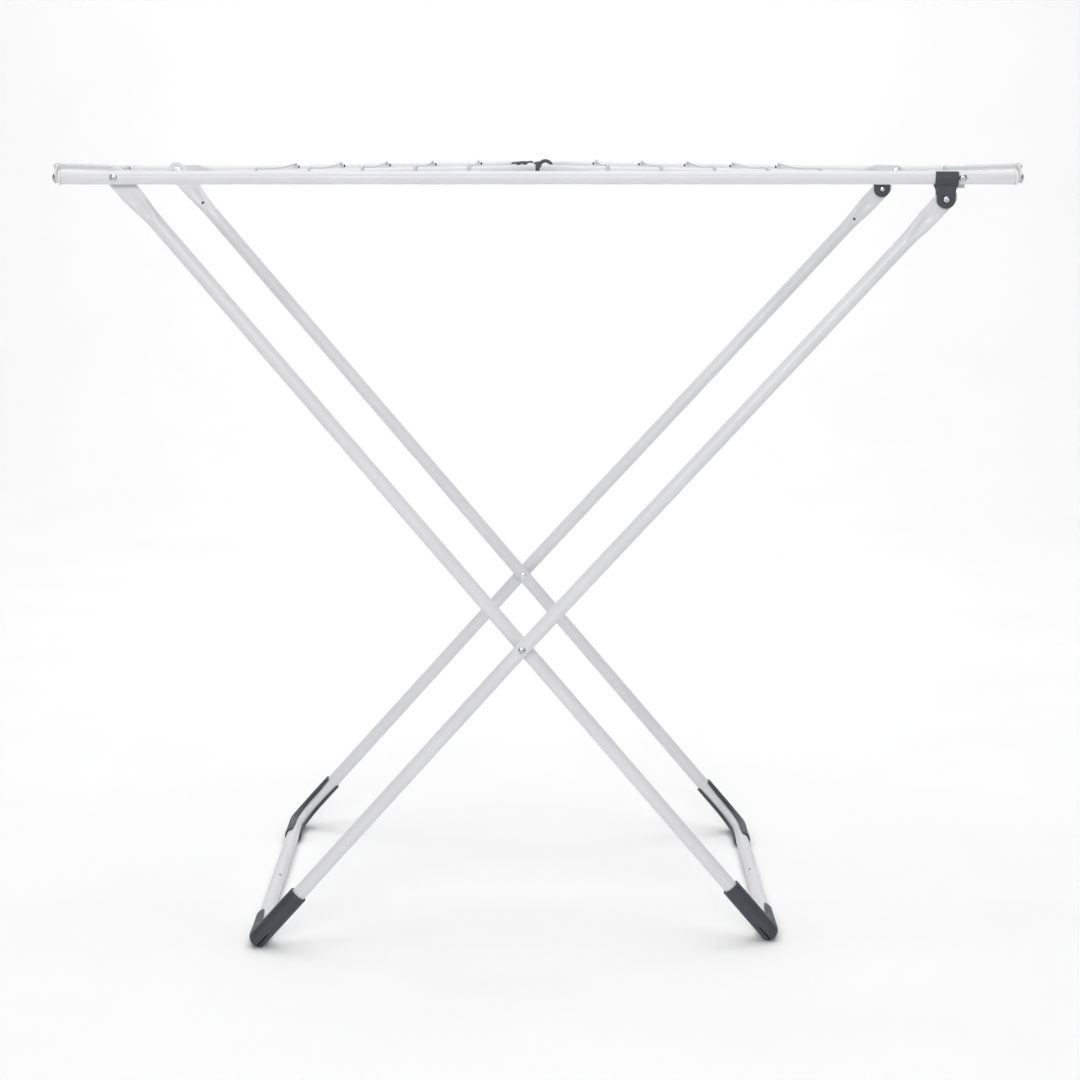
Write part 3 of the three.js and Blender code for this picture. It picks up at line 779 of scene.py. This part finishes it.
CROSSING = hinge_point("leg_crossing")
LEG_FLAT = LEG_R * math.cos(math.pi / 16)
INNER_TIP = Tip(12.6 * MM, 3.2 * MM, 0, 22 * MM, 50 * MM, LEG_R, 2.3 * MM)
OUTER_TIP = Tip(11.8 * MM, 3.2 * MM, 3.4 * MM, 22 * MM, 50 * MM, LEG_R, 2.3 * MM)
INNER_LEAN = 7.2 * MM
CROSSING_BEND = 120 * MM
SEAM_REACH = 289 * MM  # the floor bar's seam and the leg's own Y add up to this
SEAM_GAP = 0.3 * MM
CRIMP_BACK = 46 * MM  # from the seam to the crimp mark


def leg_line(kind, side):
    """(top hole, crossing hole, foot corner) on the centre line of a leg."""
    top = hinge_point("front_clip_pivot") if kind == "outer" else hinge_point("leg_fold")
    word = "front" if side < 0 else "back"
    low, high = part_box(f"{word}_{kind}_leg")
    foot_x = (low[0] + LEG_FLAT) if kind == "outer" else (high[0] - LEG_FLAT)
    y = (low[1] + LEG_FLAT) if side < 0 else (high[1] - LEG_FLAT)
    foot = Vector((foot_x, y, low[2] + LEG_FLAT))
    return Vector((top.x, y, top.z)), Vector((CROSSING.x, y, CROSSING.z)), foot


def leg_tube(kind, side, word):
    """Bent tube: pressed top with a punched vent, floor bend, and half of the floor crossbar.

    The front half ends in a swelled lip and the back half in a spigot that plugs into it.
    """
    tip = OUTER_TIP if kind == "outer" else INNER_TIP
    lean = Vector((0, side * (INNER_LEAN if kind == "inner" else 0), 0))
    hole, crossing, foot = leg_line(kind, side)
    along = (crossing - hole).normalized()
    normal = along.cross(Vector((0, -side, 0))).normalized()
    joint = SEAM_REACH - abs(foot.y)
    seam = joint if side < 0 else joint + SEAM_GAP
    start = hole + along * (tip.flat + tip.blend + 6 * MM)
    bar_end = Vector((foot.x, seam, foot.z))
    crimp_y = joint - CRIMP_BACK
    path = bent_path([start, crossing, foot, bar_end], [0, CROSSING_BEND, LEG_BEND, 0], 18)
    stations = pressed_tip(hole, along, lean, tip)
    stations += [Station(at, way, LEG_R, LEG_R) for at, way in path[:-1]]
    inward = Vector((0, -side, 0))
    last = path[-1][0]
    if side < 0:
        fine = [crimp_y + 0.6 * MM * k for k in range(-7, 8)]
        stations += [Station(Vector((foot.x, y, foot.z)), inward, LEG_R, LEG_R) for y in fine]
        bar_tip = ((6.0, 0.0), (4.5, 0.35), (1.4, 0.4), (0.5, 0.25), (0.0, -0.45))
    else:
        bar_tip = ((0.9, 0.0), (0.3, -0.2), (0.0, -0.7), (-1.0, -1.3), (-30.0, -1.3), (-31.0, -2.0))
    for back, proud in bar_tip:
        radius = LEG_R + proud * MM
        stations.append(Station(last - inward * back * MM, inward, radius, radius))
    shell = Shell().ring_skin([tube_ring(station, normal, 60) for station in stations])
    vent = hole + along * (tip.flat + tip.blend * 0.70) + lean * 0.2
    # painted shade: the faces inside the punched vent take the near-black slot
    shell.dent(vent, inward, 1.6 * MM, 1.4 * MM, SHADE_SLOT)
    if side < 0:
        tilt = Vector((0.42 * -math.copysign(1, foot.x), 0, 0.9)).normalized()
        # painted shade: the faces inside the crimp mark take the near-black slot
        shell.dent(Vector((foot.x, crimp_y, foot.z)), tilt, 1.9 * MM, 1.6 * MM, SHADE_SLOT)
    settle(shell.obj(f"{word}_{kind}_leg_tube", WHITE_PAINT, HOLE_SHADE), f"{word}_{kind}_leg")


SHOE_R = 11.6 * MM
SHOE_BORE_R = 9.35 * MM
SHOE_LIP_ROLL = 0.5 * MM
SHOE_LEG_ARM = 78 * MM
SHOE_BAR_ARM = 84 * MM
SHOE_HEEL = 17 * MM
SHOE_LIP, SHOE_END_LIP = 44, 52  # degrees from the slot's middle to its edges
CREASE_TURN = math.radians(22)
CREASE_WIDTH = math.radians(5)
CREASE_DEPTH = 0.95 * MM


def shoe_ring(at, along, normal, opening, heel, thin, low_side, groove):
    """One section of a corner shoe: outer arc, rounded lip, inner arc, rounded lip."""
    inside = normal.cross(along)
    outer = SHOE_R - thin
    bore = SHOE_BORE_R + thin * 0.6
    middle_radius = (outer + SHOE_LIP_ROLL + bore) / 2
    ring = []

    def place(radius, angle):
        outward = 0.0
        if radius > middle_radius:
            outward = heel * smoothstep(0, 0.35, -math.cos(angle))
        point = at + inside * (radius * math.cos(angle) - outward)
        point += normal * (radius * math.sin(angle))
        point.z = max(point.z, 0.0)
        ring.append(point)

    count = 60
    angles = [opening + (2 * math.pi - 2 * opening) * i / count for i in range(count + 1)]
    for angle in angles:
        from_lip = min(angle - opening, 2 * math.pi - opening - angle)
        rolled = SHOE_LIP_ROLL * (1 - smoothstep(0, math.radians(24), from_lip))
        seat = math.pi - low_side * CREASE_TURN
        crease = groove * math.exp(-(((angle - seat) / CREASE_WIDTH) ** 2))
        place(outer + rolled - crease, angle)
    half = (outer + SHOE_LIP_ROLL - bore) / 2
    for k in (1, 2, 3):
        bend = math.pi * k / 4
        place(middle_radius + half * math.cos(bend), angles[-1] + half / bore * math.sin(bend))
    for angle in reversed(angles):
        place(bore, angle)
    for k in (3, 2, 1):
        bend = math.pi * k / 4
        place(middle_radius + half * math.cos(bend), angles[0] - half / bore * math.sin(bend))
    return ring


def corner_shoe(kind, side, word):
    """A snap-on moulding round the floor bend, with a mitred heel, a toe crease and rolled lips."""
    _, crossing, foot = leg_line(kind, side)
    along = (foot - crossing).normalized()
    inward = Vector((0, -side, 0))
    normal = along.cross(inward).normalized()
    low_side = -1 if normal.z > 0 else 1
    leg_end = foot - along * SHOE_LEG_ARM
    bar_end = foot + inward * SHOE_BAR_ARM
    corners = [leg_end, leg_end + along * 12 * MM, foot, bar_end - inward * 16 * MM, bar_end]
    path = bent_path(corners, [0, 0, LEG_BEND, 0, 0], 22)
    fine = []
    for (a, way_a), (b, way_b) in zip(path, path[1:]):
        pieces = max(1, round((b - a).length / (4 * MM)))
        fine += [(a.lerp(b, k / pieces), way_a.lerp(way_b, k / pieces).normalized())
                 for k in range(pieces)]
    fine.append(path[-1])
    rim = [(0.0, 0.8), (0.3, 0.35), (0.9, 0.0)]
    begin = [(fine[0][0] + along * d * MM, along, t * MM) for d, t in rim]
    finish = [(fine[-1][0] - inward * d * MM, inward, t * MM) for d, t in reversed(rim)]
    run = begin + [(at, way, 0.0) for at, way in fine[1:-1]] + finish
    lengths = [0.0]
    for (a, _, _), (b, _, _) in zip(run, run[1:]):
        lengths.append(lengths[-1] + (b - a).length)
    rings = []
    for (at, way, thin), gone in zip(run, lengths):
        to_end = min(gone, lengths[-1] - gone)
        opening = math.radians(mix(SHOE_END_LIP, SHOE_LIP, smoothstep(0, 26 * MM, to_end)))
        bend = min(way.angle(along), way.angle(inward))
        mitre = (LEG_BEND + SHOE_R) * (1 / math.cos(bend) - 1)
        heel = SHOE_HEEL * math.tanh(mitre / SHOE_HEEL)
        groove = CREASE_DEPTH * smoothstep(0.30, 0.42, gone / lengths[-1])
        groove *= 1 - smoothstep(0.62, 0.72, gone / lengths[-1])
        rings.append(shoe_ring(at, way, normal, opening, heel, thin, low_side, groove))
    shell = Shell().ring_skin(rings)
    settle(shell.obj(f"{word}_{kind}_foot_cover", DARK_PLASTIC), f"{word}_{kind}_leg_shoe")


# Rail clips --------------------------------------------------------------------------------------


def rail_clip(side, word):
    """An open saddle under the rail, over a tongue that forks round the leg's flattened top."""
    node = f"{word}_rail_clip"
    pivot = hinge_point(f"{word}_clip_pivot")
    rail = middle(f"{word}_rail")
    centre = Vector((pivot.x, rail.y, rail.z))
    drop = pivot.z - rail.z
    half, tongue = 13.8 * MM, 11.2 * MM
    reach = 20 * MM
    outline = [(-half, 0), (-half, -9.2 * MM), (-tongue - 0.6 * MM, -13.4 * MM), (-tongue, -15.5 * MM)]
    outline += arc(0, drop, tongue, 180, 360, 28)
    outline += [(tongue, -15.5 * MM), (tongue + 0.6 * MM, -13.4 * MM), (half, -9.2 * MM), (half, 0)]
    slab = prism(f"{word}_rail_clip_moulding", outline, centre, 12.8 * MM)
    start = centre - X * half
    band = turned(Shell(), start, X, [(0, 11.3 * MM), (2 * half, 11.3 * MM)], 96).obj("band", DARK_PLASTIC)
    saddle_profile = [(0, 8.4 * MM), (2 * reach, 8.4 * MM)]
    saddle = turned(Shell(), centre - X * reach, X, saddle_profile, 72).obj("saddle", DARK_PLASTIC)
    wide = [(-reach, 0), (reach, 0), (reach, 16 * MM), (-reach, 16 * MM)]
    mouth = prism("mouth", wide, centre, 16.6 * MM)
    deep = [(-reach, -42 * MM), (reach, -42 * MM), (reach, -10.2 * MM), (-reach, -10.2 * MM)]
    slot = prism("slot", deep, centre, 3.8 * MM)
    bolt_hole = turned(Shell(), Vector((pivot.x, rail.y - 12 * MM, pivot.z)), Y,
                       [(0, 2.2 * MM), (24 * MM, 2.2 * MM)], 32).obj("bolt_hole", DARK_PLASTIC)
    recess = turned(Shell(), Vector((pivot.x, rail.y + side * 5.9 * MM, pivot.z)), Y * side,
                    [(0, 4.7 * MM), (8 * MM, 4.7 * MM)], 40).obj("recess", DARK_PLASTIC)
    clip = carve(slab, [("UNION", band), ("DIFFERENCE", saddle), ("DIFFERENCE", mouth),
                        ("DIFFERENCE", slot), ("DIFFERENCE", bolt_hole), ("DIFFERENCE", recess)])
    settle(soften(clip, 0.55 * MM), node)


def clip_bolt(word):
    """The clip's bolt, its head outwards and a round tail at the inner end."""
    node = f"{word}_clip_bolt"
    centre, side, inner, outer = bolt_span(node)
    axis = Y * side
    seat = Vector((centre.x, side * (outer - CLIP_HEAD_H), centre.z))
    shell = Shell()
    pan_head(shell, seat, axis, CLIP_HEAD_R, CLIP_HEAD_H, 0.35)
    turned(shell, seat, -axis, [(0, CLIP_BOLT_R), (outer - inner - CLIP_HEAD_H, CLIP_BOLT_R)], 24)
    tail = Vector((centre.x, side * (inner + CLIP_HEAD_H), centre.z))
    turned(shell, tail, -axis, rounded(0, 2.0 * MM, 3.1 * MM, 0.6 * MM), 32)
    settle(shell.obj(f"{word}_clip_rivet_bolt", ZINC), node)


# Wings -------------------------------------------------------------------------------------------

WING_TIP = Tip(8.7 * MM, 2.8 * MM, 0, 26 * MM, 24 * MM, WING_R, 1.2 * MM)
WIRE_SAG = 3 * MM


def wing_layout(hand, end):
    """(pivot, direction along the closed wing, length to its end bar, half width) of a wing."""
    low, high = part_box(f"{hand}_wing_frame")
    pivot = hinge_point(f"{hand}_wing_hinge")
    along = Vector((-end * math.cos(WING_TILT), 0, math.sin(WING_TILT)))
    inner_x = (high[0] - WING_R) if end < 0 else (low[0] + WING_R)
    reach = abs(pivot.x - inner_x) / math.cos(WING_TILT)
    return pivot, along, reach, high[1] - WING_R


def wing_frame(hand, end):
    """The wing's U of tube, its arms pressed flat at the pivots."""
    pivot, along, reach, half = wing_layout(hand, end)
    normal = along.cross(Y)
    shift = WING_R - WING_TIP.thick / 2
    flat_end = WING_TIP.flat + WING_TIP.blend + 14 * MM
    far = pivot + along * reach
    corners = [pivot + along * flat_end - Y * half, far - Y * half, far + Y * half,
               pivot + along * flat_end + Y * half]
    path = bent_path(corners, [0, WING_BEND, WING_BEND, 0], 20)
    tips = [pressed_tip(pivot + Y * half * way, along, Y * shift * way, WING_TIP) for way in (-1, 1)]
    stations = tips[0] + [Station(at, way, WING_R, WING_R) for at, way in path] + backwards(tips[1])
    rings = [tube_ring(station, normal, 48) for station in stations]
    settle(Shell().ring_skin(rings).obj(f"{hand}_wing_tube", WHITE_PAINT), f"{hand}_wing_frame")


def wing_wire(hand, end, number):
    """A sagging wire over the wing's arms: hooked ends, a weld on each arm and a painted shadow spot beside
    it.
    """
    node = f"{hand}_wing_wire_{number}"
    pivot, along, _, half = wing_layout(hand, end)
    x = middle(node).x
    base = pivot + along * (abs(x - pivot.x) / math.cos(WING_TILT))
    top = base.z + WING_R + WIRE_R + 0.15 * MM
    hook = half + WING_R + WIRE_R + 0.3 * MM

    def at(y, z):
        return Vector((x, y, z))

    shares = [k / 8 for k in range(-7, 8)]
    corners = [at(-hook, base.z - 2 * MM), at(-hook, top)]
    corners += [at(s * half * 0.97, top - WIRE_SAG * (1 - s * s)) for s in shares]
    corners += [at(hook, top), at(hook, base.z - 2 * MM)]
    path = bent_path(corners, [0, 4 * MM, *([0] * len(shares)), 4 * MM, 0], 8)
    ends = ((0.0, 0.55), (0.35, 0.88), (0.9, 1.0))
    stations = [Station(path[0][0] + Z * d * MM, Z, WIRE_R * s, WIRE_R * s) for d, s in ends]
    stations += [Station(point, way, WIRE_R, WIRE_R) for point, way in path[1:-1]]
    stations += [Station(path[-1][0] + Z * d * MM, -Z, WIRE_R * s, WIRE_R * s)
                 for d, s in reversed(ends)]
    shell = Shell().ring_skin([tube_ring(station, X, 20) for station in stations])
    for way in (-1, 1):
        foot = at(way * half, base.z + WING_R + 0.35 * MM)
        shell.bead(foot, Y, 3.4 * MM, 2.3 * MM, 0.8 * MM, Z)
        # painted shadow: a dark bead on the arm beside the weld, where the shadow gap falls
        facing = Vector((0, -0.83 * way, 0.56))
        shadow_spot = at(way * half, base.z) - X * end * 4.6 * MM + facing * (WING_R + 0.1 * MM)
        shell.bead(shadow_spot, facing.cross(X), 2.2 * MM, 1.3 * MM, 0.5 * MM, facing, slot=SHADE_SLOT)
    settle(shell.obj(f"{hand}_wing_line_{number}", WIRE_PAINT, HOLE_SHADE), node)


# Latches -----------------------------------------------------------------------------------------


def latch_strap():
    """The catch on the left wing's end bar: a strap over the tube, a finger tab and a lug below."""
    node = "left_wing_latch_strap"
    pivot, along, reach, _ = wing_layout("left", -1)
    centre = pivot + along * reach
    inner, outer = WING_R + 0.3 * MM, WING_R + 2.5 * MM
    outline = arc(0, 0, outer, 62, 112, 12)
    outline += [(x * MM, z * MM) for x, z in (
        (-12.5, 8.0), (-17, 7.1), (-21, 6.5), (-24.3, 6.2), (-25.0, 5.0), (-24.4, 4.0), (-18.4, 4.9),
        (-17.7, 1.9), (-16.9, 1.5), (-13.4, 1.5), (-12.7, 2.1), (-12.2, 5.0), (-10.4, 4.6))]
    outline += [(-outer + 0.2 * MM, 3.4 * MM), (-outer, 0.4 * MM), (-outer + 0.4 * MM, 0)]
    outline += [(-inner, 0)] + arc(0, 0, inner, 180, 62, 20)[1:]
    strap = prism("left_latch_strap", outline, centre, extent(node).y)
    settle(soften(strap, 0.4 * MM, 2, 30), node)
    ribs = Shell()
    rib_half = extent(node).y * 0.4
    for k in range(4):
        start = centre + Vector(((-23.4 + 1.5 * k) * MM, 0, (6.35 + 0.22 * k) * MM))
        ribs.bead(start, Y, rib_half, 0.4 * MM, 0.45 * MM, Z)
    settle(ribs.obj("left_latch_grip_ribs", DARK_PLASTIC), body="left_wing")


def latch_hook():
    """The hook on the right wing's end bar, its stem and foot hanging between the wings."""
    node = "right_wing_latch_hook"
    pivot, along, reach, _ = wing_layout("right", 1)
    centre = pivot + along * reach
    inner, outer = WING_R + 0.3 * MM, WING_R + 4.1 * MM
    outline = arc(0, 0, outer, 4, 125, 26)
    outline += [(x * MM, z * MM) for x, z in (
        (-9.5, 7.7), (-12.5, 7.0), (-14.8, 6.7), (-15.1, 6.1), (-14.7, 5.0), (-13.2, 3.9),
        (-12.9, 2.6), (-12.9, -4.8), (-13.3, -6.4), (-14.2, -7.9), (-13.6, -8.7), (-7.4, -8.4),
        (-6.8, -7.6), (-7.2, -5.4), (-7.2, -2.2))]
    outline += arc(0, 0, inner, 180, 4, 28)
    hook = prism("right_latch_hook", outline, centre, extent(node).y)
    settle(soften(hook, 0.4 * MM, 2, 30), node)
    ribs = Shell()
    for way in (-1, 1):
        path = arc(0, 0, outer + 0.1 * MM, 12, 128, 18)
        rings = []
        for k, (x, z) in enumerate(path):
            size = 0.5 * MM * math.sin(math.pi * (k + 0.5) / len(path)) ** 0.4
            at = centre + Vector((x, way * extent(node).y * 0.36, z))
            radial = Vector((x, 0, z)).normalized()
            rings.append(tube_ring(Station(at, Y.cross(radial), size, size), Y, 10))
        ribs.ring_skin(rings)
    settle(ribs.obj("right_latch_side_ribs", DARK_PLASTIC), body="right_wing")


# The whole rack ----------------------------------------------------------------------------------

for side, word in SIDES:
    rail_tube(word)
    arm_washer(word)
    for end, hand in HANDS:
        rail_plug(hand, end, word)
        end_screw(hand, end, word)
        pivot_spacer(f"{word}_{hand}_pivot_spacer", f"{word}_{hand}_pivot_bush")
        headed_screw(f"{word}_{hand}_pivot_machine_screw", f"{word}_{hand}_pivot_screw",
                     0.5 * end + 0.3 * side)
    for kind in ("outer", "inner"):
        leg_tube(kind, side, word)
        corner_shoe(kind, side, word)
    headed_screw(f"{word}_crossing_screw", f"{word}_crossing_bolt", 0.9 * side)
    pivot_spacer(f"{word}_crossing_spacer", f"{word}_crossing_bush")
    rail_clip(side, word)
    clip_bolt(word)

for end, hand in HANDS:
    end_crossbar(hand)
    wing_frame(hand, end)
    for number in range(1, 6):
        wing_wire(hand, end, number)
    for number in range(1, 5):
        centre_wire(hand, number)

latch_strap()
latch_hook()


# Studio ------------------------------------------------------------------------------------------


PAPER_HALF = 9.0
PAPER_BEND_Y = 2.6
PAPER_BEND_R = 2.2
PAPER_TOP = 7.0


def sweep_backdrop():
    """Pale paper that runs along the floor and curves up behind the rack."""
    profile = [(-PAPER_HALF, 0.0), (-3.0, 0.0), (PAPER_BEND_Y, 0.0)]
    profile += [(PAPER_BEND_Y + PAPER_BEND_R * math.sin(a), PAPER_BEND_R * (1 - math.cos(a)))
                for a in [math.pi / 2 * k / 24 for k in range(1, 25)]]
    profile.append((PAPER_BEND_Y + PAPER_BEND_R, PAPER_TOP))
    shell = Shell()
    loops = []
    for x in (-PAPER_HALF, PAPER_HALF):
        loops.append([shell.mesh.verts.new((x, y, z - 0.2 * MM)) for y, z in profile])
    for i in range(len(profile) - 1):
        shell.mesh.faces.new((loops[0][i], loops[1][i], loops[1][i + 1], loops[0][i + 1]))
    paper = shell.obj("studio_paper", studio_paper())


def softbox(name, place, aim, width, height, power):
    """A rectangular lamp at place, turned to face aim."""
    lamp = bpy.data.lights.new(name, "AREA")
    lamp.shape = "RECTANGLE"
    lamp.size = width
    lamp.size_y = height
    lamp.energy = power
    piece = bpy.data.objects.new(name, lamp)
    piece.location = place
    piece.rotation_euler = (Vector(aim) - Vector(place)).to_track_quat("-Z", "Y").to_euler()
    bpy.context.scene.collection.objects.link(piece)


def studio():
    sweep_backdrop()
    softbox("key_softbox", (-0.3, -4.5, 2.0), (0, 0, 0.6), 2.8, 1.0, 92)
    softbox("top_softbox", (0, -0.5, 4.2), (0, -0.3, 0), 4.4, 3.4, 92)
    softbox("backdrop_softbox", (0, 2.0, 4.6), (0, 4.4, 1.4), 5.0, 1.5, 110)
    world = bpy.data.worlds.new("studio_world")
    world.use_nodes = True
    background = world.node_tree.nodes["Background"]
    background.inputs["Color"].default_value = (1.0, 1.0, 1.0, 1.0)
    background.inputs["Strength"].default_value = 0.25
    bpy.context.scene.world = world
    bpy.context.scene.view_settings.view_transform = "Standard"


def camera():
    data = bpy.data.cameras.new("photo_camera")
    data.lens = 81.33
    data.sensor_width = 36
    piece = bpy.data.objects.new("photo_camera", data)
    piece.location = (-0.0082, -3.214, 1.0085)
    piece.rotation_euler = (math.radians(80.553), 0, math.radians(-0.197))
    bpy.context.scene.collection.objects.link(piece)
    bpy.context.scene.camera = piece


studio()
camera()
